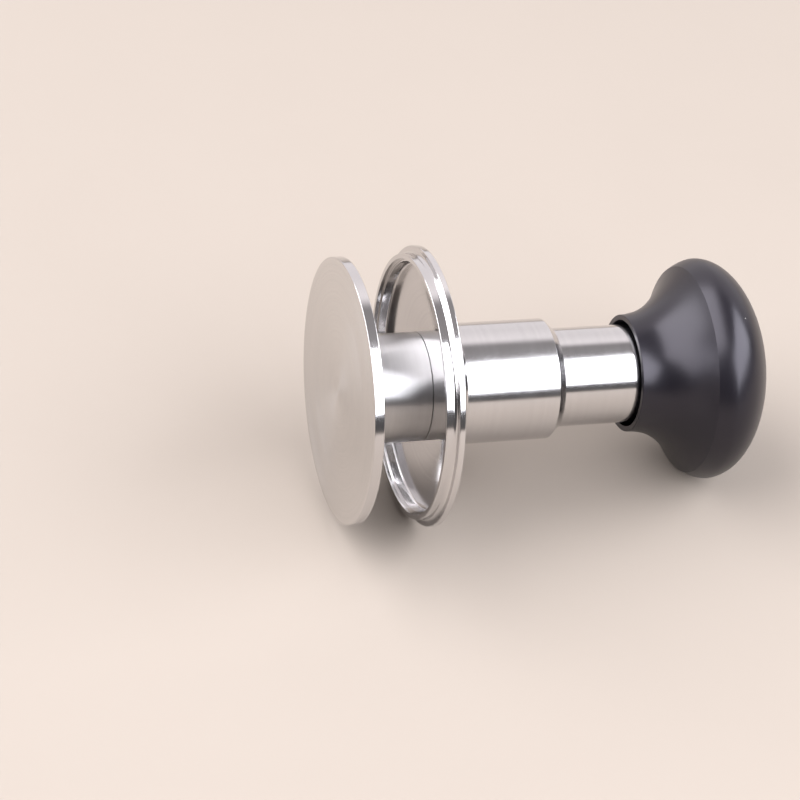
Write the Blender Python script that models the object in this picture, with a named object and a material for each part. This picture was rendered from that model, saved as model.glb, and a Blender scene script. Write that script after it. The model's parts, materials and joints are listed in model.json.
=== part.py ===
"""Impact espresso tamper with a self-levelling flange, lying on its side.

Sizes are in millimetres, and MM turns them into Blender's metres. Nearly every piece is turned, so
its outline is a list of (s, r) points: s runs along the tamper's axis from the tamping face towards
the knob, and r is the distance from the axis. The tamper rests on the flange's rim and on the knob,
so its axis dips a few degrees towards the knob. The world's origin is under the middle of its box.
"""

from math import atan2, cos, pi, radians, sin, tau

import bmesh
import bpy
import numpy as np

MM = 0.001
GAP = 0.3  # clearance between pieces that touch on the real object
BREAK = 0.3  # edge break on a turned corner

# How many flat sides a turned piece has. The flats touch its true circle from outside.
OUTER_SIDES = 40
INNER_SIDES = 24
WIRE_SIDES = 8

# Travel along the axis
PRESS_STROKE = 8.0
HAMMER_DROP = 6.0

# Base: tamping disc and hub in one, with a pocket for the anvil and a socket for the barrel
DISC_R = 29.25
DISC_T = 2.2
HUB_R = 12.0
SEAM_S = 18.1  # where the hub meets the barrel's collar
SEAM_DEPTH = 0.3
SOCKET_S = 9.0
SOCKET_R = 10.6
POCKET_S = 4.5
POCKET_R = 8.0

# Anvil and the pieces beside it
BUFFER_T = 1.0
ANVIL_FOOT_END_S = 8.5
ANVIL_END_S = 12.7
ANVIL_R = 4.2
SEAL_WIRE_R = 0.5

# Barrel and gland
TUBE_R = 10.95
BORE_R = 8.8
COLLAR_END_S = 24.2
GLAND_S = 68.3
GLAND_BORE_R = 9.3
BARREL_END_S = 73.0
GLAND_END_S = 74.2

# Hammer and the collet that holds it
HAMMER_S = ANVIL_END_S + GAP + HAMMER_DROP
HAMMER_R = 8.4
HAMMER_BODY_END_S = 33.0
NECK_R = 6.2
HEAD_S = 36.2  # underside of the head, which hangs on the collet's hooks
HEAD_R = 7.0
HEAD_END_S = 39.0
SPIGOT_R = 4.2  # the hammer's nose, inside the main spring
KEY_HOLE_R = 2.3
COLLET_S = 34.0
COLLET_R = 8.1
COLLET_BORE_R = 7.6
COLLET_END_S = 49.0
TRIP_S = 41.9  # middle of the bump that the plunger spreads
TRIP_R = 6.9

# Leveller: flange, sleeve and bushes
LIP_S = 15.7
LIP_R = 29.2
LIP_INNER_R = 28.1
STEP_S = 17.35
RIM_S = 18.1
RIM_END_S = 19.5
RIM_R = 30.9
RIM_BREAK = 0.2
REBATE_S = 16.7  # a shallow step inside the lip
CUP_S = 18.9  # where the cup's wall meets its sloping floor
CUP_R = 27.5
CUP_CENTRE_S = 22.9
HUB_HOLE_R = 12.35
WIPER_S = 23.9
BOSS_R = 14.2
BOSS_END_S = 25.4
SLEEVE_S = 24.7
SLEEVE_R = 13.35
SLEEVE_BORE_R = 12.3
CHAMFER_S = 46.7
SLEEVE_END_S = 48.6
MOUTH_R = 11.3
MOUTH_S = 46.4
BUSH_S = 38.6
BUSH_L = 2.5
SPACER_L = 1.9
RING_T = 0.8

# Knob
KNOB_S = 66.0
KNOB_RIM_R = 13.1
KNOB_BORE_R = 11.9
EDGE_S = 79.9  # sharp edge where the hollow underside meets the dome
EDGE_R = 23.2
WIDEST_S = 84.0
WIDEST_R = 24.8
BELLY_POWER = 1.6
KNOB_TOP_S = 97.0
FLARE_SLOPE = 0.05
FLARE_POWER = 2.6
CAVITY_S = 85.2
INSERT_R = 8.9
INSERT_END_S = 92.6

# Plunger and the preload adjuster inside it
PLUNGER_S = 48.0
PLUNGER_R = 7.1
PLUNGER_BORE_R = 6.3
PLUNGER_CROWN_S = 79.0
STEM_S = GLAND_END_S + 0.4 + PRESS_STROKE
STEM_R = 5.6
STEM_END_S = 90.5
SEAT_S = 73.0
SEAT_T = 1.2
SCREW_L = 4.0

# Each look's colour, roughness and metallic value
LOOKS = {
    "turned_steel": ((0.66, 0.65, 0.64), 0.22, 1.0),
    "brushed_steel": ((0.60, 0.59, 0.59), 0.20, 1.0),
    "polished_steel": ((0.62, 0.61, 0.61), 0.10, 1.0),
    "hard_steel": ((0.30, 0.30, 0.31), 0.30, 1.0),
    "spring_steel": ((0.45, 0.46, 0.48), 0.35, 1.0),
    "brass": ((0.78, 0.60, 0.28), 0.30, 1.0),
    "black_anodised": ((0.010, 0.010, 0.011), 0.32, 0.0),
    "polymer": ((0.85, 0.84, 0.80), 0.50, 0.0),
    "rubber": ((0.03, 0.03, 0.03), 0.70, 0.0),
}


def clear_scene():
    for obj in list(bpy.data.objects):
        bpy.data.objects.remove(obj)


def add_look(obj, name):
    """Gives an object one of the LOOKS, as a Principled material made once."""
    made = bpy.data.materials.get(name)
    if not made:
        colour, roughness, metallic = LOOKS[name]
        made = bpy.data.materials.new(name)
        made.use_nodes = True
        shader = made.node_tree.nodes["Principled BSDF"]
        shader.inputs["Base Color"].default_value = (*colour, 1.0)
        shader.inputs["Roughness"].default_value = roughness
        shader.inputs["Metallic"].default_value = metallic
        made.diffuse_color = (*colour, 1.0)
    obj.data.materials.append(made)


def add_empty(name, parent=None):
    """An empty whose X axis is a joint's axis."""
    empty = bpy.data.objects.new(name, None)
    empty.empty_display_size = 10 * MM
    bpy.context.scene.collection.objects.link(empty)
    empty.parent = parent
    return empty


def add_object(name, shape, parent):
    """An object whose origin is on the axis, at the shape's end nearest the tamping face."""
    start = min(v.co.x for v in shape.verts)
    bmesh.ops.translate(shape, verts=shape.verts, vec=(-start, 0, 0))
    bmesh.ops.recalc_face_normals(shape, faces=shape.faces)
    mesh = bpy.data.meshes.new(name)
    shape.to_mesh(mesh)
    shape.free()
    obj = bpy.data.objects.new(name, mesh)
    bpy.context.scene.collection.objects.link(obj)
    obj.parent = parent
    obj.location = (start, 0, 0)
    return obj


def add_piece(name, shape, parent, look):
    obj = add_object(name, shape, parent)
    obj.data.shade_smooth()
    obj.data.set_sharp_from_angle(angle=radians(28))
    add_look(obj, look)
    return obj


def cut(obj, name, shape):
    """Takes a shape out of an object with a Boolean, and keeps it as a hidden guide."""
    cutter = add_object(name, shape, obj.parent)
    cutter.hide_render = True
    cutter.display_type = "WIRE"
    modifier = obj.modifiers.new(name, "BOOLEAN")
    modifier.operation = "DIFFERENCE"
    modifier.solver = "EXACT"
    modifier.object = cutter


def turned(outline, sides=INNER_SIDES):
    """Turns an outline about the X axis. One that starts and ends on the axis makes a solid piece,
    and any other is a closed section, which makes a ring."""
    shape = bmesh.new()
    # The angles put a flat side straight down, for the tamper to rest on.
    angles = [tau * (k + 0.5) / sides for k in range(sides)]
    rings = []
    for s, r in outline:
        if r == 0:
            rings.append([shape.verts.new((s * MM, 0, 0))] * sides)
        else:
            corner_r = r * MM / cos(pi / sides)
            ring = [(s * MM, corner_r * sin(a), -corner_r * cos(a)) for a in angles]
            rings.append([shape.verts.new(point) for point in ring])
    solid = outline[0][1] == 0
    following = rings[1:] if solid else rings[1:] + rings[:1]
    for here, there in zip(rings, following):
        for k in range(sides):
            corners = [here[k], here[k - 1], there[k - 1], there[k]]
            shape.faces.new(dict.fromkeys(corners))
    return shape


def prism(corners, start_s, end_s):
    """A flat outline in Y and Z, extruded along the axis."""
    shape = bmesh.new()
    face = shape.faces.new([shape.verts.new((start_s * MM, y * MM, z * MM)) for y, z in corners])
    moved = bmesh.ops.extrude_face_region(shape, geom=[face])["geom"]
    far_end = [v for v in moved if isinstance(v, bmesh.types.BMVert)]
    bmesh.ops.translate(shape, verts=far_end, vec=((end_s - start_s) * MM, 0, 0))
    return shape


def ring_outline(start_s, end_s, inner_r, outer_r):
    """The section of a plain ring."""
    return [(start_s, inner_r), (start_s, outer_r), (end_s, outer_r), (end_s, inner_r)]


def wire_outline(centre_s, centre_r, wire_r):
    """The section of a ring of round wire."""
    angles = [tau * k / WIRE_SIDES for k in range(WIRE_SIDES)]
    return [(centre_s + wire_r * cos(a), centre_r + wire_r * sin(a)) for a in angles]


def star(arms, width, reach):
    """The (y, z) corners of a star of straight slots."""
    half_width = width / 2
    far_r, far_angle = (reach**2 + half_width**2) ** 0.5, atan2(half_width, reach)
    near_r = half_width / sin(pi / arms)
    corners = []
    for k in range(arms):
        middle = tau * k / arms
        for r, angle in ((far_r, -far_angle), (far_r, far_angle), (near_r, pi / arms)):
            corners.append((r * cos(middle + angle), r * sin(middle + angle)))
    return corners


def hexagon(across_flats):
    corner_r = across_flats / 2 / cos(pi / 6)
    return [(corner_r * cos(k * pi / 3), corner_r * sin(k * pi / 3)) for k in range(6)]


def split_gap(start_s, end_s, outer_r):
    """The shape that opens a split ring at its top."""
    half_width = 1.0
    corners = [(-half_width, 0), (half_width, 0), (half_width, outer_r), (-half_width, outer_r)]
    return prism(corners, start_s, end_s)


def coil_spring(name, start_s, end_s, mean_r, wire_r, turns, parent):
    """A compression spring of round wire between two seats."""
    steps_per_turn = 12
    count = round(turns * steps_per_turn) + 1
    curve = bpy.data.curves.new(name, "CURVE")
    curve.dimensions = "3D"
    curve.bevel_depth = wire_r * MM
    curve.bevel_resolution = 1
    curve.use_fill_caps = True
    spline = curve.splines.new("POLY")
    spline.points.add(count - 1)
    travel = end_s - start_s - 2 * wire_r
    for k, point in enumerate(spline.points):
        angle = tau * k / steps_per_turn
        s = wire_r + travel * k / (count - 1)
        point.co = (s * MM, mean_r * MM * sin(angle), mean_r * MM * cos(angle), 1)
    obj = bpy.data.objects.new(name, curve)
    bpy.context.scene.collection.objects.link(obj)
    obj.parent = parent
    obj.location = (start_s * MM, 0, 0)
    add_look(obj, "spring_steel")


# --- Base and barrel ---------------------------------------------------------------------------


def base_plate(parent):
    """The tamping disc and its hub, in one piece."""
    fillet = 0.6
    seam_face_s = SEAM_S - SEAM_DEPTH / 2
    outline = [
        (0, 0),
        (0, DISC_R - BREAK),
        (BREAK, DISC_R),
        (DISC_T - BREAK, DISC_R),
        (DISC_T, DISC_R - BREAK),
        (DISC_T, HUB_R + fillet),
        (DISC_T + fillet, HUB_R),
        (seam_face_s - BREAK / 2, HUB_R),
        (seam_face_s, HUB_R - BREAK / 2),
        (seam_face_s, SOCKET_R),
        (SOCKET_S, SOCKET_R),
        (SOCKET_S, POCKET_R),
        (POCKET_S, POCKET_R),
        (POCKET_S, 0),
    ]
    add_piece("base_plate", turned(outline, OUTER_SIDES), parent, "turned_steel")


def buffer_ring(parent):
    """The washer under the anvil that softens the blow on the disc."""
    start_s = POCKET_S + GAP
    outline = ring_outline(start_s, start_s + BUFFER_T, 3.0, POCKET_R - GAP)
    add_piece("buffer_ring", turned(outline), parent, "polymer")


def anvil(parent):
    """The hardened block in the hub that the hammer strikes."""
    foot_s = POCKET_S + GAP + BUFFER_T + GAP
    foot_r = POCKET_R - GAP
    outline = [
        (foot_s, 0),
        (foot_s, foot_r),
        (ANVIL_FOOT_END_S, foot_r),
        (ANVIL_FOOT_END_S, ANVIL_R),
        (ANVIL_END_S - BREAK, ANVIL_R),
        (ANVIL_END_S, ANVIL_R - BREAK),
        (ANVIL_END_S, 0),
    ]
    add_piece("anvil", turned(outline), parent, "hard_steel")


def spigot_seal(parent):
    """The O-ring between the floor of the socket and the barrel's spigot."""
    outline = wire_outline(SOCKET_S + GAP + SEAL_WIRE_R, SOCKET_R - 2 * SEAL_WIRE_R, SEAL_WIRE_R)
    add_piece("spigot_seal", turned(outline), parent, "rubber")


def barrel(parent):
    """The tube that the leveller slides on, with a spigot and a collar at the hub's end."""
    spigot_s = SOCKET_S + 2 * GAP + 2 * SEAL_WIRE_R
    spigot_r = SOCKET_R - GAP
    seam_face_s = SEAM_S + SEAM_DEPTH / 2
    outline = [
        (spigot_s, BORE_R),
        (spigot_s, spigot_r),
        (seam_face_s, spigot_r),
        (seam_face_s, HUB_R - BREAK / 2),
        (seam_face_s + BREAK / 2, HUB_R),
        (COLLAR_END_S - BREAK, HUB_R),
        (COLLAR_END_S, HUB_R - BREAK),
        (COLLAR_END_S, TUBE_R),
        (BARREL_END_S - BREAK, TUBE_R),
        (BARREL_END_S, TUBE_R - BREAK),
        (BARREL_END_S, GLAND_BORE_R),
        (GLAND_S, GLAND_BORE_R),
        (GLAND_S, BORE_R),
    ]
    add_piece("barrel", turned(outline, OUTER_SIDES), parent, "brushed_steel")


def barrel_gland(parent):
    """The bush in the barrel's end that guides the plunger."""
    flange_s, flange_r = BARREL_END_S + GAP, TUBE_R - 0.5
    bore_r, body_r = PLUNGER_R + GAP, GLAND_BORE_R - GAP
    outline = [
        (GLAND_S + GAP, bore_r),
        (GLAND_S + GAP, body_r),
        (flange_s, body_r),
        (flange_s, flange_r),
        (GLAND_END_S, flange_r),
        (GLAND_END_S, bore_r),
    ]
    add_piece("barrel_gland", turned(outline), parent, "brass")


def latch_collet(parent):
    """The slotted spring collet that holds the hammer up until the plunger spreads its fingers."""
    hook_s = HEAD_S - GAP
    hook_r = NECK_R + GAP
    finger_r = COLLET_BORE_R - 0.1
    root_s = COLLET_END_S - 3.5
    band_r = BORE_R - GAP
    outline = [
        (COLLET_S, hook_r + 0.5),
        (COLLET_S, COLLET_R),
        (root_s, COLLET_R),
        (root_s + BREAK, band_r),
        (COLLET_END_S, band_r),
        (COLLET_END_S, COLLET_BORE_R),
        (TRIP_S + 1.7, COLLET_BORE_R),
        (TRIP_S + 0.7, TRIP_R),
        (TRIP_S - 0.7, TRIP_R),
        (TRIP_S - 1.7, finger_r),
        (hook_s, finger_r),
        (hook_s, hook_r),
        (COLLET_S + 0.5, hook_r),
    ]
    collet = add_piece("latch_collet", turned(outline), parent, "spring_steel")
    slots = prism(star(arms=6, width=1.4, reach=12.0), COLLET_S - 1, root_s + 1)
    cut(collet, "collet_slots", slots)


# --- Hammer ------------------------------------------------------------------------------------


def hammer(parent):
    """The striker. A key reaches the adjusting screw through the hole in it."""
    chamfer = 0.5
    outline = [
        (HAMMER_S, KEY_HOLE_R),
        (HAMMER_S, HAMMER_R - chamfer),
        (HAMMER_S + chamfer, HAMMER_R),
        (HAMMER_BODY_END_S - chamfer, HAMMER_R),
        (HAMMER_BODY_END_S, HAMMER_R - chamfer),
        (HAMMER_BODY_END_S, NECK_R),
        (HEAD_S, NECK_R),
        (HEAD_S, HEAD_R),
        (HEAD_END_S - BREAK, HEAD_R),
        (HEAD_END_S, HEAD_R - BREAK),
        (HEAD_END_S, SPIGOT_R),
        (HEAD_END_S + 2.0, SPIGOT_R - BREAK),
        (HEAD_END_S + 2.0, KEY_HOLE_R),
    ]
    add_piece("hammer", turned(outline), parent, "hard_steel")


def main_spring(parent):
    """The spring between the hammer's head and the plunger's seat, which the knob loads."""
    wire_r = 0.65
    mean_r = PLUNGER_BORE_R - wire_r - 0.4
    coil_spring("main_spring", HEAD_END_S + GAP, SEAT_S - GAP, mean_r, wire_r, 10, parent)


def hammer_return_spring(parent):
    """The light spring that lifts the hammer back into the collet."""
    start_s, end_s = ANVIL_FOOT_END_S + GAP, HAMMER_S - GAP
    coil_spring("hammer_return_spring", start_s, end_s, 6.0, 0.45, 3.5, parent)


# --- Leveller ----------------------------------------------------------------------------------


def leveller_flange(parent):
    """The cupped flange: its lip centres in the filter basket and its rim rides on the edge."""
    boss_bore_r = SLEEVE_R + GAP
    pocket_s = WIPER_S - 0.5
    outline = [
        (LIP_S, LIP_INNER_R + 0.2),
        (LIP_S, LIP_R - 0.15),
        (LIP_S + 0.15, LIP_R),
        (STEP_S, LIP_R),
        (STEP_S + 0.5, LIP_R + 0.25),
        (RIM_S, LIP_R + 0.8),
        (RIM_S, RIM_R - RIM_BREAK),
        (RIM_S + RIM_BREAK, RIM_R),
        (RIM_END_S - RIM_BREAK, RIM_R),
        (RIM_END_S, RIM_R - RIM_BREAK),
        (BOSS_END_S - 0.6, BOSS_R),
        (BOSS_END_S, BOSS_R - 0.3),
        (BOSS_END_S, boss_bore_r),
        (SLEEVE_S - GAP, boss_bore_r),
        (SLEEVE_S - GAP, SLEEVE_R),
        (pocket_s, SLEEVE_R),
        (pocket_s, HUB_HOLE_R),
        (CUP_CENTRE_S, HUB_HOLE_R),
        (CUP_S, CUP_R - 0.6),
        (CUP_S - 0.6, CUP_R),
        (REBATE_S, CUP_R),
        (REBATE_S, LIP_INNER_R),
        (LIP_S + 0.2, LIP_INNER_R),
    ]
    add_piece("leveller_flange", turned(outline, OUTER_SIDES), parent, "polished_steel")


def flange_wiper(parent):
    """The O-ring in the flange that wipes the hub and gives the leveller its drag."""
    outline = wire_outline(WIPER_S, (HUB_R + SLEEVE_R) / 2, 0.35)
    add_piece("flange_wiper", turned(outline), parent, "rubber")


def leveller_sleeve(parent):
    """The sleeve that carries the flange along the barrel."""
    groove_s, groove_end_s = BUSH_S - RING_T - 0.5, BUSH_S - 0.1
    groove_r = SLEEVE_BORE_R + 0.5
    outline = [
        (SLEEVE_S, SLEEVE_BORE_R),
        (SLEEVE_S, SLEEVE_R),
        (CHAMFER_S, SLEEVE_R),
        (SLEEVE_END_S, MOUTH_R + 0.3),
        (SLEEVE_END_S, MOUTH_R),
        (MOUTH_S, MOUTH_R),
        (MOUTH_S, SLEEVE_BORE_R),
        (groove_end_s, SLEEVE_BORE_R),
        (groove_end_s, groove_r),
        (groove_s, groove_r),
        (groove_s, SLEEVE_BORE_R),
    ]
    add_piece("leveller_sleeve", turned(outline, OUTER_SIDES), parent, "brushed_steel")


def leveller_bushes(parent):
    """The two bushes that run on the barrel, and the spacer between them."""
    inner_r, outer_r = TUBE_R + GAP, SLEEVE_BORE_R - GAP
    start_s = BUSH_S
    for name, length, look in (
        ("lower_guide_bush", BUSH_L, "polymer"),
        ("bush_spacer", SPACER_L, "brass"),
        ("upper_guide_bush", BUSH_L, "polymer"),
    ):
        outline = ring_outline(start_s, start_s + length, inner_r, outer_r)
        add_piece(name, turned(outline), parent, look)
        start_s += length + GAP


def bush_retaining_ring(parent):
    """The split ring that keeps the bushes in the sleeve."""
    start_s, end_s = BUSH_S - GAP - RING_T, BUSH_S - GAP
    outer_r = SLEEVE_BORE_R + 0.2
    outline = ring_outline(start_s, end_s, TUBE_R + GAP, outer_r)
    ring = add_piece("bush_retaining_ring", turned(outline), parent, "spring_steel")
    cut(ring, "bush_ring_gap", split_gap(start_s - 1, end_s + 1, outer_r + 1))


# --- Knob and plunger --------------------------------------------------------------------------


def knob_outside():
    """The knob's outline from its rim to its top: hollow flare, sharp edge, belly, dome."""
    length = EDGE_S - KNOB_S
    flare_rise = EDGE_R - KNOB_RIM_R - FLARE_SLOPE * length
    outline = []
    for t in np.linspace(0, 1, 8):
        r = KNOB_RIM_R + FLARE_SLOPE * length * t + flare_rise * t**FLARE_POWER
        outline.append((KNOB_S + length * t, r))
    for t in (1 / 3, 2 / 3):
        r = WIDEST_R - (WIDEST_R - EDGE_R) * (1 - t) ** BELLY_POWER
        outline.append((EDGE_S + (WIDEST_S - EDGE_S) * t, r))
    height = KNOB_TOP_S - WIDEST_S
    for t in np.linspace(0, pi / 2, 11)[:-1]:
        outline.append((WIDEST_S + height * sin(t), WIDEST_R * cos(t)))
    return outline


def knob_shell(parent):
    """The black knob, hollow below to swallow the end of the barrel."""
    seat_s, seat_r = INSERT_END_S + GAP, INSERT_R + GAP
    outline = [(seat_s, 0), (seat_s, seat_r), (CAVITY_S, seat_r), (CAVITY_S, KNOB_BORE_R)]
    outline += [(KNOB_S, KNOB_BORE_R), *knob_outside(), (KNOB_TOP_S, 0)]
    add_piece("knob_shell", turned(outline, OUTER_SIDES), parent, "black_anodised")


def knob_insert(parent):
    """The threaded insert in the knob that takes the plunger's stem."""
    outline = ring_outline(CAVITY_S + GAP, INSERT_END_S, STEM_R + GAP, INSERT_R)
    add_piece("knob_insert", turned(outline), parent, "brass")


def knob_bumper(parent):
    """The rubber ring that meets the gland at full stroke."""
    outline = ring_outline(STEM_S, CAVITY_S - GAP, 8.2, KNOB_BORE_R - 0.4)
    add_piece("knob_bumper", turned(outline), parent, "rubber")


def jam_nut(parent):
    """The thin nut that locks the plunger's stem in the knob's insert."""
    start_s, end_s = STEM_S + GAP, CAVITY_S - GAP
    nut = add_piece("jam_nut", prism(hexagon(13.0), start_s, end_s), parent, "brushed_steel")
    hole_s, hole_end_s, hole_r = start_s - 1, end_s + 1, STEM_R + GAP
    hole = [(hole_s, 0), (hole_s, hole_r), (hole_end_s, hole_r), (hole_end_s, 0)]
    cut(nut, "jam_nut_hole", turned(hole))


def plunger(parent):
    """The cup on the knob that runs in the gland, holds the main spring and trips the collet,
    with a threaded stem behind it."""
    groove_s, groove_end_s = GLAND_S - RING_T - GAP, GLAND_S + GAP
    groove_r = PLUNGER_R - GAP
    stem_chamfer = 0.5
    outline = [
        (PLUNGER_CROWN_S, 0),
        (PLUNGER_CROWN_S, PLUNGER_BORE_R),
        (PLUNGER_S, PLUNGER_BORE_R),
        (PLUNGER_S, PLUNGER_R - 0.4),
        (PLUNGER_S + 0.6, PLUNGER_R),
        (groove_s, PLUNGER_R),
        (groove_s, groove_r),
        (groove_end_s, groove_r),
        (groove_end_s, PLUNGER_R),
        (STEM_S, PLUNGER_R),
        (STEM_S, STEM_R),
        (STEM_END_S - stem_chamfer, STEM_R),
        (STEM_END_S, STEM_R - stem_chamfer),
        (STEM_END_S, 0),
    ]
    add_piece("plunger", turned(outline), parent, "brushed_steel")


def plunger_retaining_ring(parent):
    """The split ring under the gland that stops the knob from pulling out."""
    start_s, end_s = GLAND_S - RING_T, GLAND_S
    outer_r = BORE_R - 0.4
    outline = ring_outline(start_s, end_s, PLUNGER_R, outer_r)
    ring = add_piece("plunger_retaining_ring", turned(outline), parent, "spring_steel")
    cut(ring, "plunger_ring_gap", split_gap(start_s - 1, end_s + 1, outer_r + 1))


def spring_seat(parent):
    """The washer between the main spring and the adjusting screw."""
    outline = ring_outline(SEAT_S, SEAT_S + SEAT_T, KEY_HOLE_R, PLUNGER_BORE_R - GAP)
    add_piece("spring_seat", turned(outline), parent, "hard_steel")


def adjusting_screw(parent):
    """The grub screw that sets the main spring's load, with a hex socket facing the hammer."""
    start_s, outer_r = SEAT_S + SEAT_T + GAP, PLUNGER_BORE_R - GAP
    end_s = start_s + SCREW_L
    outline = [
        (start_s, 0),
        (start_s, outer_r - BREAK),
        (start_s + BREAK, outer_r),
        (end_s, outer_r),
        (end_s, 0),
    ]
    screw = add_piece("adjusting_screw", turned(outline), parent, "hard_steel")
    cut(screw, "screw_socket", prism(hexagon(4.0), start_s - 1, start_s + 2.6))


# --- Assembly ----------------------------------------------------------------------------------


def dip_angle():
    """How far the axis dips towards the knob when the rim and the knob rest on one surface."""
    rim_s = RIM_END_S - RIM_BREAK
    return atan2(min((RIM_R - r) / (s - rim_s) for s, r in knob_outside()), 1)


def lay_on_surface(root):
    """Turns the axis down by the dip and moves the whole so that its box stands on the origin."""
    root.rotation_euler = (0, dip_angle(), 0)
    bpy.context.view_layer.update()
    corners = []
    for obj in bpy.context.scene.objects:
        if obj.type == "MESH" and not obj.hide_render:
            corners += [obj.matrix_world @ v.co for v in obj.data.vertices]
    low, high = np.min(corners, axis=0), np.max(corners, axis=0)
    root.location = (-(low[0] + high[0]) / 2, -(low[1] + high[1]) / 2, -low[2])


def main():
    clear_scene()
    root = add_empty("tamper_axis")
    base = add_empty("base_axis", root)
    striker = add_empty("hammer_axis", root)
    guide = add_empty("leveller_slide_axis", root)
    leveller = add_empty("leveller_spin_axis", guide)
    stop = add_empty("knob_press_axis", root)
    knob = add_empty("knob_spin_axis", stop)
    adjuster = add_empty("preload_axis", knob)

    for make in (base_plate, buffer_ring, anvil, spigot_seal, barrel, barrel_gland, latch_collet):
        make(base)
    for make in (hammer, main_spring, hammer_return_spring):
        make(striker)
    leveller_bushes(guide)
    for make in (leveller_flange, flange_wiper, leveller_sleeve, bush_retaining_ring):
        make(leveller)
    plunger_retaining_ring(stop)
    for make in (knob_shell, knob_insert, knob_bumper, jam_nut, plunger):
        make(knob)
    for make in (spring_seat, adjusting_screw):
        make(adjuster)
    lay_on_surface(root)


main()
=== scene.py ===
import json
from math import atan2, cos, pi, radians, sin, tan, tau

import bmesh
import bpy
from mathutils import Matrix, Vector


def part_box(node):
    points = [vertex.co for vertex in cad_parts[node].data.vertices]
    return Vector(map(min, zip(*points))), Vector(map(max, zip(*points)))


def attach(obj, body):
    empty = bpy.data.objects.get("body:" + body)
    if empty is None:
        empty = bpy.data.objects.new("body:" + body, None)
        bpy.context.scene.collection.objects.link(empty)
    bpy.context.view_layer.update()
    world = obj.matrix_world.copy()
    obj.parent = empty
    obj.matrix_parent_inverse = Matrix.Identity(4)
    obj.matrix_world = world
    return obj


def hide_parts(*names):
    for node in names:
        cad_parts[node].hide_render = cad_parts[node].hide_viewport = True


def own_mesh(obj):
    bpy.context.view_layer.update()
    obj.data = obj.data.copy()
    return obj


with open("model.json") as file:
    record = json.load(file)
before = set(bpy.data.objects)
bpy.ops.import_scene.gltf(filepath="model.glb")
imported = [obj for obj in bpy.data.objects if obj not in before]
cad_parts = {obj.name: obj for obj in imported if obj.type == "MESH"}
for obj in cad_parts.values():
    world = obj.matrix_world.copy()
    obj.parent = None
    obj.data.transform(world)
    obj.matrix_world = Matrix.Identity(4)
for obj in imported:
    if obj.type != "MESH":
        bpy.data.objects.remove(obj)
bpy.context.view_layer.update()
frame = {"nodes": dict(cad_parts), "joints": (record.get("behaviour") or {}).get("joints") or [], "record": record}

# Every visible piece is turned about one axis. Its outline is in millimetres: s runs along the axis
# from the tamping face towards the knob, and r is the distance from the axis. An outline is a list
# of (s, r, radius) corners, where radius rounds the corner.
MM = 0.001
SEGMENTS = 192  # around the axis
ARC_STEPS = 5  # along a rounded corner
SHARP_ANGLE = radians(40)  # an edge that turns by more is shaded sharp
COIL_STEPS = 40  # along one turn of a spring
WIRE_SEGMENTS = 14  # around a spring's wire

CAD_SEAM = 0.30  # between the hub and the barrel's collar, in the CAD
SEAM = 0.20  # the part of it that shows as a fine line
SLIDING_FIT = 0.05  # between the flange and the hub
CLOSE_FIT = 0.04  # between the flange and the sleeve

FLOOR_REACH = 3.0  # metres from the middle to each side
PANEL_DISTANCE = 1.2

VIEW_HEADING = 16.366  # degrees, from +Y towards +X
VIEW_ELEVATION = 38.3
VIEW_ROLL = 2.285
VIEW_DISTANCE = 0.6695
VIEW_LENS = 137.63
SENSOR_WIDTH = 36.0
AIM_S = 13.93  # the point of the axis that the camera looks near
FRAME_OFFSET = Vector((0.18, -2.78)) * MM  # of the picture's middle from that point


def joint_named(name):
    return next(j for j in frame["joints"] if j["name"] == name)


def mount_named(name):
    return next(m for m in frame["record"]["mounts"] if m["name"] == name)


FACE = Vector(mount_named("tamping_face")["pos_m"])
ALONG = Vector(joint_named("knob_spin")["axis"]).normalized()
SIDE = Vector((0, 1, 0))
UPWARD = ALONG.cross(SIDE)


def on_axis(s):
    return FACE + ALONG * (s * MM)


def ends(node):
    """Where a CAD node starts and ends along the axis."""
    reach = [(v.co - FACE).dot(ALONG) / MM for v in frame["nodes"][node].data.vertices]
    return min(reach), max(reach)


def outer_radius(node):
    """A CAD node's radius in millimetres. Its box's side lies square to the axis."""
    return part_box(node)[1].y / MM


# --- Shapes ------------------------------------------------------------------------------------


def add_object(name, data):
    made = bpy.data.objects.new(name, data)
    bpy.context.scene.collection.objects.link(made)
    return made


def rounded(corners):
    """The outline's points, with each corner turned into an arc of its radius. Two more points
    beside each arc keep the shading of the flats even."""
    points = []
    for k, (s, r, radius) in enumerate(corners):
        here = Vector((s, r))
        if not radius:
            points.append(here)
            continue
        before = Vector(corners[k - 1][:2])
        after = Vector(corners[(k + 1) % len(corners)][:2])
        heading, leaving = (here - before).normalized(), (after - here).normalized()
        turn = atan2(heading.x * leaving.y - heading.y * leaving.x, heading.dot(leaving))
        reach = radius * tan(abs(turn) / 2)
        start = here - heading * reach
        left = Vector((-heading.y, heading.x))
        centre = start + left * (radius if turn > 0 else -radius)
        spoke = start - centre
        points.append(start - heading * radius / 4)
        for step in range(ARC_STEPS + 1):
            angle = turn * step / ARC_STEPS
            swept = Matrix.Rotation(angle, 2) @ spoke
            points.append(centre + swept)
        points.append(here + leaving * (reach + radius / 4))
    return points


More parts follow.
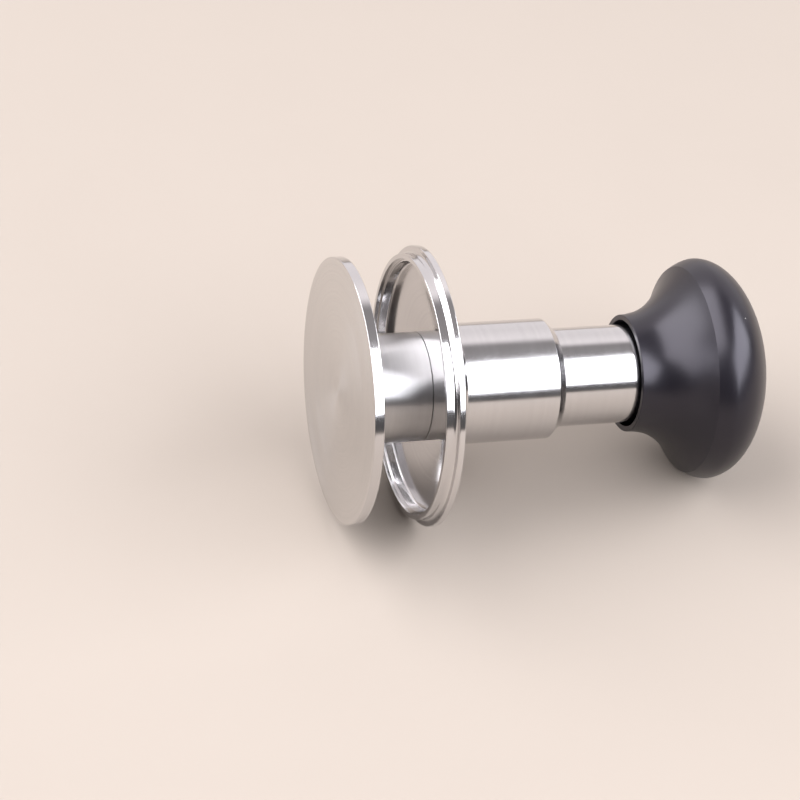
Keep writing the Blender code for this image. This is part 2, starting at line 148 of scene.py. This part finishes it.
def turned(name, corners, looks, look_at=None):
    """Turns an outline about the axis. One that starts and ends at r = 0 is solid through, and
    any other is a closed section. look_at(s, r) picks the look of the surface there."""
    points = rounded(corners)
    shape = bmesh.new()
    rings = []
    for s, r in points:
        if r == 0:
            rings.append([shape.verts.new(on_axis(s))] * SEGMENTS)
        else:
            angles = [tau * k / SEGMENTS for k in range(SEGMENTS)]
            spokes = [SIDE * (r * MM * sin(a)) + UPWARD * (r * MM * cos(a)) for a in angles]
            rings.append([shape.verts.new(on_axis(s) + spoke) for spoke in spokes])
    solid = corners[0][1] == 0
    last = len(rings) - 1 if solid else len(rings)
    for n in range(last):
        here, there = rings[n], rings[(n + 1) % len(rings)]
        middle = (points[n] + points[(n + 1) % len(points)]) / 2
        index = look_at(*middle) if look_at else 0
        for k in range(SEGMENTS):
            face = shape.faces.new(dict.fromkeys([here[k], here[k - 1], there[k - 1], there[k]]))
            face.material_index = index
            face.smooth = True
    bmesh.ops.recalc_face_normals(shape, faces=shape.faces)
    mesh = bpy.data.meshes.new(name)
    shape.to_mesh(mesh)
    shape.free()
    mesh.set_sharp_from_angle(angle=SHARP_ANGLE)
    for look in looks:
        mesh.materials.append(look)
    return add_object(name, mesh)


# --- Material nodes ----------------------------------------------------------------------------


def add_node(tree, kind, links=None, **settings):
    """Adds a shader node. links fills its inputs, from a socket or with a value."""
    node = tree.nodes.new(kind)
    for key, value in settings.items():
        setattr(node, key, value)
    for key, value in (links or {}).items():
        if isinstance(value, bpy.types.NodeSocket):
            tree.links.new(value, node.inputs[key])
        else:
            node.inputs[key].default_value = value
    return node


def new_look(name, **values):
    """A Principled material whose even values are set straight on the shader."""
    made = bpy.data.materials.new(name)
    made.use_nodes = True
    tree = made.node_tree
    shader = tree.nodes["Principled BSDF"]
    for key, value in values.items():
        shader.inputs[key.replace("_", " ")].default_value = value
    return made, tree, shader


def computed(tree, operation, *values):
    return add_node(tree, "ShaderNodeMath", dict(enumerate(values)), operation=operation).outputs[0]


def vector(tree, operation, *values, result="Vector"):
    links = dict(enumerate(values))
    return add_node(tree, "ShaderNodeVectorMath", links, operation=operation).outputs[result]


def scaled(tree, value, low, high):
    """A 0 to 1 value, mapped onto low to high."""
    links = {"Value": value, "To Min": low, "To Max": high}
    return add_node(tree, "ShaderNodeMapRange", links).outputs["Result"]


def place_on_piece(tree):
    """A point's place from the middle of the tamping face, in millimetres. It moves with the piece."""
    coordinates = add_node(tree, "ShaderNodeTexCoord").outputs["Object"]
    offset = vector(tree, "SUBTRACT", coordinates, FACE)
    links = {0: offset, "Scale": 1 / MM}
    return add_node(tree, "ShaderNodeVectorMath", links, operation="SCALE").outputs[0]


def distance_along(tree, place):
    """A point's s."""
    return vector(tree, "DOT_PRODUCT", place, ALONG, result="Value")


def distance_out(tree, place):
    """A point's r."""
    return vector(tree, "LENGTH", vector(tree, "CROSS_PRODUCT", place, ALONG), result="Value")


def ring_noise(tree, distance, pitch, detail=2.0):
    """Noise that changes only with one distance, as turning marks do."""
    links = {"W": computed(tree, "DIVIDE", distance, pitch), "Scale": 1.0, "Detail": detail}
    return add_node(tree, "ShaderNodeTexNoise", links, noise_dimensions="1D").outputs[0]


def grain_noise(tree, place, size, detail=2.0):
    """Noise with grains of a size in millimetres."""
    links = {"Vector": place, "Scale": 1 / size, "Detail": detail}
    return add_node(tree, "ShaderNodeTexNoise", links).outputs[0]


def add_bump(tree, shader, heights):
    """Bumps from (height, depth in millimetres) pairs, one on top of the other."""
    normal = None
    for height, depth in heights:
        links = {"Height": height, "Strength": 1.0, "Distance": depth * MM}
        if normal:
            links["Normal"] = normal
        normal = add_node(tree, "ShaderNodeBump", links).outputs["Normal"]
    tree.links.new(normal, shader.inputs["Normal"])


def add_turning(tree, shader, place, anisotropy):
    """Reflections spread across the turning marks, which run around the axis."""
    around = vector(tree, "NORMALIZE", vector(tree, "CROSS_PRODUCT", place, ALONG))
    links = {0: around}
    settings = {"vector_type": "VECTOR", "convert_from": "OBJECT", "convert_to": "WORLD"}
    tangent = add_node(tree, "ShaderNodeVectorTransform", links, **settings)
    tree.links.new(tangent.outputs[0], shader.inputs["Tangent"])
    shader.inputs["Anisotropic"].default_value = anisotropy
    shader.inputs["Anisotropic Rotation"].default_value = 0.25


def mixed(tree, share, first, second):
    """A colour between two, by share. Either may be a colour or a socket."""
    mix = tree.nodes.new("ShaderNodeMix")
    mix.data_type = "RGBA"
    sockets = {s.name: s for s in mix.inputs if s.enabled}
    tree.links.new(share, sockets["Factor"])
    for name, colour in (("A", first), ("B", second)):
        if isinstance(colour, bpy.types.NodeSocket):
            tree.links.new(colour, sockets[name])
        else:
            sockets[name].default_value = (*colour, 1.0)
    return next(s for s in mix.outputs if s.enabled)


# --- Looks of the visible pieces ---------------------------------------------------------------


def turned_face_look():
    """The tamping face: fine concentric turning marks over a near mirror."""
    look, tree, shader = new_look("tamping_face_steel", Metallic=1.0)
    place = place_on_piece(tree)
    r = distance_out(tree, place)
    marks = ring_noise(tree, r, pitch=0.5, detail=4.0)
    bands = ring_noise(tree, r, pitch=4.0)
    smudge = grain_noise(tree, place, size=12.0, detail=3.0)
    streaked = mixed(tree, marks, (0.56, 0.55, 0.54), (0.75, 0.74, 0.73))
    colour = mixed(tree, computed(tree, "MULTIPLY", smudge, 0.4), streaked, (0.64, 0.63, 0.62))
    tree.links.new(colour, shader.inputs["Base Color"])
    tree.links.new(scaled(tree, bands, 0.13, 0.31), shader.inputs["Roughness"])
    add_turning(tree, shader, place, anisotropy=0.8)
    return look


def satin_steel_look(name, roughness, anisotropy, ring_depth, grain_depth):
    """Steel turned and then rubbed to a satin finish: rings, grain and faint handling marks."""
    look, tree, shader = new_look(name, Metallic=1.0)
    place = place_on_piece(tree)
    s = distance_along(tree, place)
    rings = ring_noise(tree, s, pitch=0.35, detail=3.0)
    tone = ring_noise(tree, s, pitch=1.2, detail=4.0)
    grain = grain_noise(tree, place, size=0.22, detail=3.0)
    smudge = grain_noise(tree, place, size=5.0, detail=4.0)
    turned_tone = mixed(tree, tone, (0.58, 0.57, 0.57), (0.64, 0.63, 0.63))
    colour = mixed(tree, computed(tree, "MULTIPLY", smudge, 0.35), turned_tone, (0.55, 0.55, 0.55))
    tree.links.new(colour, shader.inputs["Base Color"])
    spread = scaled(tree, smudge, roughness * 0.7, roughness * 1.3)
    tree.links.new(spread, shader.inputs["Roughness"])
    add_turning(tree, shader, place, anisotropy)
    add_bump(tree, shader, [(rings, ring_depth), (grain, grain_depth)])
    return look


def polished_steel_look():
    """Mirror-polished steel with faint turning marks and smudges."""
    look, tree, shader = new_look("polished_steel", Metallic=1.0)
    place = place_on_piece(tree)
    smudge = grain_noise(tree, place, size=6.0, detail=4.0)
    marks = ring_noise(tree, distance_out(tree, place), pitch=0.6, detail=3.0)
    colour = mixed(tree, marks, (0.56, 0.55, 0.55), (0.68, 0.67, 0.67))
    tree.links.new(colour, shader.inputs["Base Color"])
    tree.links.new(scaled(tree, smudge, 0.06, 0.16), shader.inputs["Roughness"])
    waves = grain_noise(tree, place, size=2.0)
    add_bump(tree, shader, [(waves, 0.004)])
    return look


def black_knob_look():
    """Satin black anodising over a bead-blasted knob, with a few specks of dust."""
    look, tree, shader = new_look("black_anodised", Metallic=0.0)
    shader.inputs["Specular Tint"].default_value = (0.95, 0.91, 1.0, 1.0)
    place = place_on_piece(tree)
    grain = grain_noise(tree, place, size=0.14, detail=3.0)
    smudge = grain_noise(tree, place, size=11.0, detail=4.0)
    specks_per_mm, speck_size = 0.12, 0.016  # the size is a share of their spacing
    specks = add_node(tree, "ShaderNodeTexVoronoi", {"Vector": place, "Scale": specks_per_mm})
    near = computed(tree, "LESS_THAN", specks.outputs["Distance"], speck_size)
    body = mixed(tree, smudge, (0.0040, 0.0034, 0.0055), (0.0075, 0.0066, 0.0095))
    tree.links.new(mixed(tree, near, body, (0.35, 0.34, 0.33)), shader.inputs["Base Color"])
    tree.links.new(scaled(tree, smudge, 0.27, 0.35), shader.inputs["Roughness"])
    add_bump(tree, shader, [(grain, 0.0022)])
    return look


# --- Looks of the pieces inside ----------------------------------------------------------------


def metal_look(name, dark, light, roughness, size):
    """A plain machined metal with a grain in its colour, gloss and surface."""
    look, tree, shader = new_look(name, Metallic=1.0)
    place = place_on_piece(tree)
    mottle = grain_noise(tree, place, size, detail=4.0)
    grain = grain_noise(tree, place, size=0.15)
    tree.links.new(mixed(tree, mottle, dark, light), shader.inputs["Base Color"])
    spread = scaled(tree, mottle, roughness * 0.8, roughness * 1.2)
    tree.links.new(spread, shader.inputs["Roughness"])
    add_bump(tree, shader, [(grain, 0.002)])
    return look


def soft_look(name, dark, light, roughness, grain_size, depth):
    """Moulded plastic or rubber with a fine grain."""
    look, tree, shader = new_look(name, Metallic=0.0)
    place = place_on_piece(tree)
    mottle = grain_noise(tree, place, size=2.5, detail=3.0)
    grain = grain_noise(tree, place, grain_size)
    tree.links.new(mixed(tree, mottle, dark, light), shader.inputs["Base Color"])
    spread = scaled(tree, mottle, roughness * 0.9, roughness * 1.1)
    tree.links.new(spread, shader.inputs["Roughness"])
    add_bump(tree, shader, [(grain, depth)])
    return look


def inner_looks():
    """The looks of the record's material slots that are only inside the tamper."""
    return {
        "brushed_steel": metal_look("machined_steel", (0.55, 0.54, 0.53), (0.66, 0.65, 0.64), 0.28, 3.0),
        "hard_steel": metal_look("blackened_steel", (0.22, 0.22, 0.23), (0.36, 0.36, 0.37), 0.34, 2.0),
        "spring_steel": metal_look("oiled_spring_steel", (0.36, 0.37, 0.40), (0.50, 0.51, 0.54), 0.30, 1.5),
        "brass": metal_look("machined_brass", (0.70, 0.50, 0.20), (0.84, 0.66, 0.33), 0.27, 3.5),
        "polymer": soft_look("natural_acetal", (0.76, 0.75, 0.70), (0.84, 0.83, 0.79), 0.45, 0.2, 0.004),
        "rubber": soft_look("nitrile_rubber", (0.018, 0.018, 0.018), (0.034, 0.034, 0.034), 0.62, 0.3, 0.012),
    }


def dress_inner_nodes(looks):
    for subpart in frame["record"]["subparts"]:
        if subpart["material_slot"] in looks:
            materials = frame["nodes"][subpart["node"]].data.materials
            materials[0] = looks[subpart["material_slot"]]


# --- Visible pieces ----------------------------------------------------------------------------


def stand_for(piece, node, body):
    """Makes a fine piece stand for a CAD node."""
    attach(piece, body)
    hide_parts(node)


def make_base_plate(face, edge, satin):
    """The tamping disc and its hub, with a socket for the barrel and a pocket for the anvil."""
    face_s, hub_end_s = ends("base_plate")
    disc_r, hub_r = outer_radius("base_plate"), outer_radius("barrel")
    back_s, socket_s, pocket_s, socket_r, pocket_r = 2.2, 9.0, 4.5, 10.6, 8.0
    dimple_r, dimple_depth = 0.35, 0.06
    polished_from_r = disc_r - 0.2
    seam_s = hub_end_s + (CAD_SEAM - SEAM) / 2
    corners = [
        (face_s + dimple_depth, 0, 0),
        (face_s, dimple_r, 0),
        (face_s, disc_r, 0.12),
        (back_s, disc_r, 0.18),
        (back_s, hub_r, 0.6),
        (seam_s, hub_r, 0.05),
        (seam_s, socket_r, 0),
        (socket_s, socket_r, 0),
        (socket_s, pocket_r, 0),
        (pocket_s, pocket_r, 0),
        (pocket_s, 0, 0),
    ]

    def look_at(s, r):
        if s < back_s and r > polished_from_r:
            return 1
        return 0 if s < dimple_depth else 2

    piece = turned("base_plate_fine", corners, [face, edge, satin], look_at)
    stand_for(piece, "base_plate", "base")


def make_barrel(satin, polished):
    """The tube, with the collar that meets the hub and the spigot that screws into it."""
    spigot_s, end_s = ends("barrel")
    seam_s = ends("base_plate")[1] + (CAD_SEAM + SEAM) / 2
    collar_end_s, collar_r, tube_r = 24.2, outer_radius("barrel"), 10.95
    spigot_r, bore_r, gland_s, gland_r = 10.3, 8.8, 68.3, 9.3
    corners = [
        (spigot_s, bore_r, 0),
        (spigot_s, spigot_r, 0),
        (seam_s, spigot_r, 0),
        (seam_s, collar_r, 0.05),
        (collar_end_s, collar_r, 0.25),
        (collar_end_s, tube_r, 0.1),
        (end_s, tube_r, 0.3),
        (end_s, gland_r, 0),
        (gland_s, gland_r, 0),
        (gland_s, bore_r, 0),
    ]
    piece = turned("barrel_fine", corners, [satin, polished], lambda s, r: int(s > collar_end_s))
    stand_for(piece, "barrel", "base")


def make_leveller_flange(polished):
    """The cup: its lip, the rim beside it, the sloping back and the boss around the sleeve."""
    lip_s, boss_end_s = ends("leveller_flange")
    rim_r, sleeve_r = outer_radius("leveller_flange"), outer_radius("leveller_sleeve")
    lip_r, lip_inner_r, cup_r, rim_back_r = rim_r - 1.7, rim_r - 2.8, rim_r - 3.4, rim_r - 0.9
    rebate_s, rim_s, rim_end_s, cup_s = lip_s + 1.0, lip_s + 2.4, lip_s + 3.8, lip_s + 3.2
    hole_r, recess_r = outer_radius("barrel") + SLIDING_FIT, sleeve_r + CLOSE_FIT
    land_s, pocket_s, seat_s = 22.9, 23.4, 24.4
    boss_r, boss_break_s, boss_break_r = 14.2, 0.6, 0.3
    corners = [
        (lip_s, lip_inner_r, 0.10),
        (lip_s, lip_r, 0.15),
        (rim_s, lip_r, 0.75),
        (rim_s, rim_r, 0.20),
        (rim_end_s, rim_r, 0.20),
        (rim_end_s, rim_back_r, 0.3),
        (boss_end_s - boss_break_s, boss_r, 0.3),
        (boss_end_s, boss_r - boss_break_r, 0.1),
        (boss_end_s, recess_r, 0.05),
        (seat_s, recess_r, 0),
        (seat_s, sleeve_r, 0),
        (pocket_s, sleeve_r, 0),
        (pocket_s, hole_r, 0),
        (land_s, hole_r, 0.12),
        (cup_s, cup_r, 0.6),
        (rebate_s, cup_r, 0.08),
        (rebate_s, lip_inner_r, 0.05),
    ]
    stand_for(turned("leveller_flange_fine", corners, [polished]), "leveller_flange", "leveller")


def make_leveller_sleeve(satin):
    """The sleeve, with a chamfered end, and a groove inside for the bushes' ring."""
    start_s, end_s = ends("leveller_sleeve")
    sleeve_r, bore_r, mouth_r = outer_radius("leveller_sleeve"), 12.3, 11.3
    chamfer_s, chamfer_end_r, mouth_s = end_s - 1.9, mouth_r + 0.3, end_s - 2.2
    ring_s, ring_end_s = ends("bush_retaining_ring")
    ring_play = 0.2
    groove_s, groove_end_s, groove_r = ring_s - ring_play, ring_end_s + ring_play, bore_r + 0.5
    corners = [
        (start_s, bore_r, 0),
        (start_s, sleeve_r, 0.15),
        (chamfer_s, sleeve_r, 0.08),
        (end_s, chamfer_end_r, 0.08),
        (end_s, mouth_r, 0.06),
        (mouth_s, mouth_r, 0),
        (mouth_s, bore_r, 0),
        (groove_end_s, bore_r, 0),
        (groove_end_s, groove_r, 0),
        (groove_s, groove_r, 0),
        (groove_s, bore_r, 0),
    ]
    stand_for(turned("leveller_sleeve_fine", corners, [satin]), "leveller_sleeve", "leveller")


def knob_corners(start_s, top_s, widest_r):
    """The knob's outside: rim, hollow flare, sharp edge, belly and domed top."""
    rim_r, edge_s, edge_r, widest_s = 13.1, start_s + 13.9, 23.2, start_s + 18.0
    length, slope, flare_power, belly_power = edge_s - start_s, 0.05, 2.6, 1.6
    rise = edge_r - rim_r - slope * length
    flare_steps, belly_steps, dome_steps = 28, 10, 30
    corners = [(start_s, rim_r, 0.15)]
    for k in range(1, flare_steps):
        t = k / flare_steps
        corners.append((start_s + length * t, rim_r + slope * length * t + rise * t**flare_power, 0))
    corners.append((edge_s, edge_r, 0.08))
    for k in range(1, belly_steps):
        t = k / belly_steps
        r = widest_r - (widest_r - edge_r) * (1 - t) ** belly_power
        corners.append((edge_s + (widest_s - edge_s) * t, r, 0))
    for k in range(dome_steps):
        a = pi / 2 * k / dome_steps
        corners.append((widest_s + (top_s - widest_s) * sin(a), widest_r * cos(a), 0))
    corners.append((top_s, 0, 0))
    return corners


def make_knob(black):
    """The knob, with a deep bore for the barrel and a narrower one for its insert."""
    start_s, top_s = ends("knob_shell")
    bore_r, cavity_s, seat_r, seat_s = 11.9, 85.2, 9.2, 92.9
    corners = [
        (seat_s, 0, 0),
        (seat_s, seat_r, 0),
        (cavity_s, seat_r, 0),
        (cavity_s, bore_r, 0),
        (start_s, bore_r, 0.2),
    ]
    corners += knob_corners(start_s, top_s, outer_radius("knob_shell"))
    stand_for(turned("knob_shell_fine", corners, [black]), "knob_shell", "knob")


def make_spring(node, wire_r, turns, look):
    """A coil of round wire with closed ends. It rides on the hammer."""
    start_s, end_s = ends(node)
    length = end_s - start_s
    coil_r = outer_radius(node) - wire_r
    closed_pitch = 2.05 * wire_r  # of the first turn and the last, which touch their neighbours
    pitch = (length - 2 * wire_r - 2 * closed_pitch) / (turns - 2)
    shape = bmesh.new()
    rings = []
    for k in range(round(turns * COIL_STEPS) + 1):
        turn = k / COIL_STEPS
        closed = min(turn, 1) + max(turn - (turns - 1), 0)
        open_turns = turn - closed
        s = start_s + wire_r + closed * closed_pitch + open_turns * pitch
        outward = SIDE * sin(tau * turn) + UPWARD * cos(tau * turn)
        centre = on_axis(s) + outward * (coil_r * MM)
        angles = [tau * n / WIRE_SEGMENTS for n in range(WIRE_SEGMENTS)]
        spokes = [(outward * cos(a) + ALONG * sin(a)) * (wire_r * MM) for a in angles]
        rings.append([shape.verts.new(centre + spoke) for spoke in spokes])
    for here, there in zip(rings, rings[1:]):
        for n in range(WIRE_SEGMENTS):
            shape.faces.new([here[n], here[n - 1], there[n - 1], there[n]]).smooth = True
    shape.faces.new(rings[0])
    shape.faces.new(rings[-1])
    bmesh.ops.recalc_face_normals(shape, faces=shape.faces)
    mesh = bpy.data.meshes.new(node + "_fine")
    shape.to_mesh(mesh)
    shape.free()
    mesh.materials.append(look)
    piece = add_object(node + "_fine", mesh)
    stand_for(piece, node, "hammer")
    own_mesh(piece)


def make_tamper():
    face, polished, black = turned_face_look(), polished_steel_look(), black_knob_look()
    hub = satin_steel_look("hub_satin_steel", 0.36, 0.85, ring_depth=0.0012, grain_depth=0.0030)
    sleeve = satin_steel_look("sleeve_satin_steel", 0.17, 0.4, ring_depth=0.0007, grain_depth=0.0024)
    tube = satin_steel_look("tube_steel", 0.15, 0.3, ring_depth=0.0004, grain_depth=0.0022)
    make_base_plate(face, polished, hub)
    make_barrel(hub, tube)
    make_leveller_flange(polished)
    make_leveller_sleeve(sleeve)
    make_knob(black)
    inner = inner_looks()
    wire = inner["spring_steel"]
    make_spring("main_spring", 0.65, 10, wire)
    make_spring("hammer_return_spring", 0.45, 3.5, wire)
    dress_inner_nodes(inner)


# --- Floor, light and camera -------------------------------------------------------------------


def make_floor():
    """A plain pale surface."""
    shape = bmesh.new()
    bmesh.ops.create_grid(shape, x_segments=1, y_segments=1, size=FLOOR_REACH)
    mesh = bpy.data.meshes.new("floor")
    shape.to_mesh(mesh)
    shape.free()
    look, tree, shader = new_look("pale_floor", Roughness=0.85)
    shader.inputs["Specular IOR Level"].default_value = 0.2
    mottle = grain_noise(tree, place_on_piece(tree), size=60.0, detail=3.0)
    colour = mixed(tree, mottle, (0.300, 0.262, 0.225), (0.312, 0.273, 0.235))
    tree.links.new(colour, shader.inputs["Base Color"])
    mesh.materials.append(look)
    add_object("floor", mesh)


def direction(heading, elevation):
    """The level heading is in degrees from +Y towards +X."""
    h, e = radians(heading), radians(elevation)
    return Vector((sin(h) * cos(e), cos(h) * cos(e), sin(e)))


def add_panel(name, heading, elevation, width, height, power, colour):
    """A soft light that faces the tamper from a heading and an elevation."""
    light = bpy.data.lights.new(name, "AREA")
    light.shape = "RECTANGLE"
    light.size, light.size_y = width, height
    light.energy = power
    light.color = colour
    panel = add_object(name, light)
    towards = direction(heading, elevation)
    panel.location = towards * PANEL_DISTANCE
    panel.rotation_euler = towards.to_track_quat("Z", "Y").to_euler()
    panel.visible_camera = False


def eased(tree, value, start, end, low, high):
    """A smooth step from low to high as the value goes from start to end."""
    links = {"Value": value, "From Min": start, "From Max": end, "To Min": low, "To Max": high}
    step = add_node(tree, "ShaderNodeMapRange", links, interpolation_type="SMOOTHSTEP")
    return step.outputs["Result"]


def make_sky():
    """A room that is dim towards the camera, with a pale wall behind the tamper."""
    world = bpy.data.worlds.new("studio")
    world.use_nodes = True
    tree = world.node_tree
    towards = add_node(tree, "ShaderNodeTexCoord").outputs["Generated"]
    away = vector(tree, "DOT_PRODUCT", towards, direction(VIEW_HEADING, 0), result="Value")
    wall = eased(tree, away, start=0.40, end=0.62, low=0.10, high=1.1)
    height = add_node(tree, "ShaderNodeSeparateXYZ", {0: towards}).outputs["Z"]
    ceiling = eased(tree, height, start=0.4, end=1.0, low=0.0, high=0.3)
    background = tree.nodes["Background"]
    background.inputs["Color"].default_value = (1.0, 0.94, 0.96, 1.0)
    tree.links.new(computed(tree, "ADD", wall, ceiling), background.inputs["Strength"])
    bpy.context.scene.world = world


def make_lights():
    add_panel("right_panel", VIEW_HEADING + 115, 41, 2.0, 1.0, power=41.0, colour=(0.93, 0.94, 1.0))
    add_panel("left_panel", VIEW_HEADING + 268, 46, 1.74, 1.5, power=42.0, colour=(0.97, 0.96, 1.0))
    make_sky()


def make_camera():
    """Looks down at the tamper from its front, with the disc on the left."""
    back = -direction(VIEW_HEADING, -VIEW_ELEVATION)
    level = Vector((-back.y, back.x, 0)).normalized()
    upright = back.cross(level)
    roll = radians(VIEW_ROLL)
    right = level * cos(roll) + upright * sin(roll)
    up = upright * cos(roll) - level * sin(roll)
    place = on_axis(AIM_S) + back * VIEW_DISTANCE
    place += right * FRAME_OFFSET.x + up * FRAME_OFFSET.y
    data = bpy.data.cameras.new("camera")
    data.lens = VIEW_LENS
    data.sensor_width = SENSOR_WIDTH
    camera = add_object("camera", data)
    turn = Matrix((right, up, back)).transposed().to_4x4()
    camera.matrix_world = Matrix.Translation(place) @ turn
    bpy.context.scene.camera = camera


make_camera()
make_tamper()
make_floor()
make_lights()
bpy.context.scene.view_settings.view_transform = "Standard"
